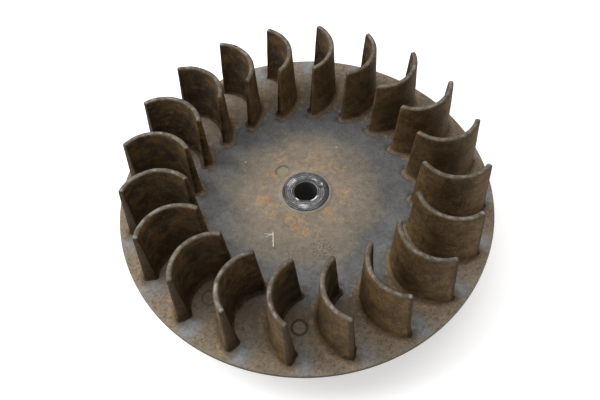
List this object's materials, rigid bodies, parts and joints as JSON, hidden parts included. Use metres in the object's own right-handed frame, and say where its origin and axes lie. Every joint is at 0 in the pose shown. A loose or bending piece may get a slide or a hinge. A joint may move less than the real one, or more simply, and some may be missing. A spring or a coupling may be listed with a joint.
{
  "type": "fan flywheel",
  "caption": "Engine flywheel: a flat cast disc with curved upright fan blades round its rim, a steel taper-bored hub, and an iron ring with an ignition magnet underneath.",
  "frame": {"origin": "on the shaft axis, on the plane of the magnet ring's lowest face, which the part rests on", "axes": "+Z along the shaft axis towards the blades and the shaft nut's side; +Y towards the ignition magnet, -Y towards the keyway"},
  "size_m": [0.2032, 0.2032, 0.068],
  "materials": {
    "fan_casting": "weathered cast, rust-stained",
    "fan_blades": "weathered cast, rust-stained",
    "hub_steel": "turned, scratched",
    "ring_iron": "turned, dull",
    "magnet_alloy": "ground, dull",
    "shoe_steel": "laminated, dull",
    "weight_iron": "cast, dull",
    "screw_steel": "tarnished"
  },
  "bodies": {
    "root": {"fan_disc": "fan_casting", "fan_blade_01": "fan_blades", "fan_blade_02": "fan_blades", "fan_blade_03": "fan_blades", "fan_blade_04": "fan_blades", "fan_blade_05": "fan_blades", "fan_blade_06": "fan_blades", "fan_blade_07": "fan_blades", "fan_blade_08": "fan_blades", "fan_blade_09": "fan_blades", "fan_blade_10": "fan_blades", "fan_blade_11": "fan_blades", "fan_blade_12": "fan_blades", "fan_blade_13": "fan_blades", "fan_blade_14": "fan_blades", "fan_blade_15": "fan_blades", "fan_blade_16": "fan_blades", "fan_blade_17": "fan_blades", "fan_blade_18": "fan_blades", "fan_blade_19": "fan_blades", "fan_blade_20": "fan_blades", "hub_sleeve": "hub_steel", "magnet_ring": "ring_iron", "magnet": "magnet_alloy", "pole_shoe_1": "shoe_steel", "pole_shoe_2": "shoe_steel", "counterweight": "weight_iron", "ring_screw_1": "screw_steel", "ring_screw_2": "screw_steel", "ring_screw_3": "screw_steel", "ring_screw_4": "screw_steel", "ring_screw_5": "screw_steel", "ring_screw_6": "screw_steel", "counterweight_screw_1": "screw_steel", "counterweight_screw_2": "screw_steel", "pole_shoe_screw_1": "screw_steel", "pole_shoe_screw_2": "screw_steel"}
  },
  "joints": []
}
